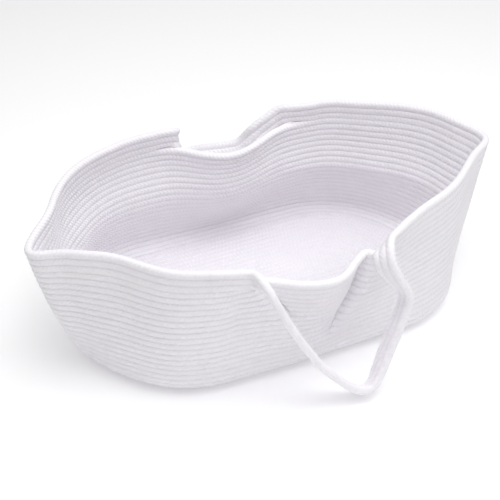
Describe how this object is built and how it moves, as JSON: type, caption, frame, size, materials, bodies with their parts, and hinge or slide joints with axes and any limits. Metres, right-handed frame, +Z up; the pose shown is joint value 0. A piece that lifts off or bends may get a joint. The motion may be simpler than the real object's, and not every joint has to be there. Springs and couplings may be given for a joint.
{
  "type": "moses basket",
  "caption": "Open oval baby basket of coiled, stitched cotton rope with a soft leaning wall and a swinging rope strap handle on each long side.",
  "frame": {"origin": "centre of the base's flat underside", "axes": "+X from the foot end to the head end along the length, -Y the near long side, +Z up"},
  "size_m": [0.6541, 0.5015, 0.2199],
  "materials": {
    "base_rope": "matt white cotton rope, stitched in a coil",
    "wall_rope": "matt white cotton rope, stitched row to row",
    "band_rope": "matt white cotton rope, smooth round rows",
    "handle_rope": "matt white cotton rope, three rows stitched flat"
  },
  "bodies": {
    "basket": {"base_coil": "base_rope", "wall_coil": "wall_rope", "head_band_row_1": "band_rope", "head_band_row_2": "band_rope", "head_band_row_3": "band_rope", "foot_band_row_1": "band_rope", "foot_band_row_2": "band_rope", "foot_band_row_3": "band_rope"},
    "front_handle": {"front_handle_row_1": "handle_rope", "front_handle_row_2": "handle_rope", "front_handle_row_3": "handle_rope"},
    "rear_handle": {"rear_handle_row_1": "handle_rope", "rear_handle_row_2": "handle_rope", "rear_handle_row_3": "handle_rope"}
  },
  "joints": [
    {"name": "front_handle_swing", "type": "hinge", "parent": "basket", "child": "front_handle", "pos_m": [-0.03303, -0.22174, 0.1985], "axis": [-0.9997, 0.0247, 0.0054], "range_deg": [0, 155]},
    {"name": "rear_handle_swing", "type": "hinge", "parent": "basket", "child": "rear_handle", "pos_m": [0.01688, 0.13277, 0.19715], "axis": [0.9995, -0.0258, -0.0186], "range_deg": [0, 185]}
  ]
}
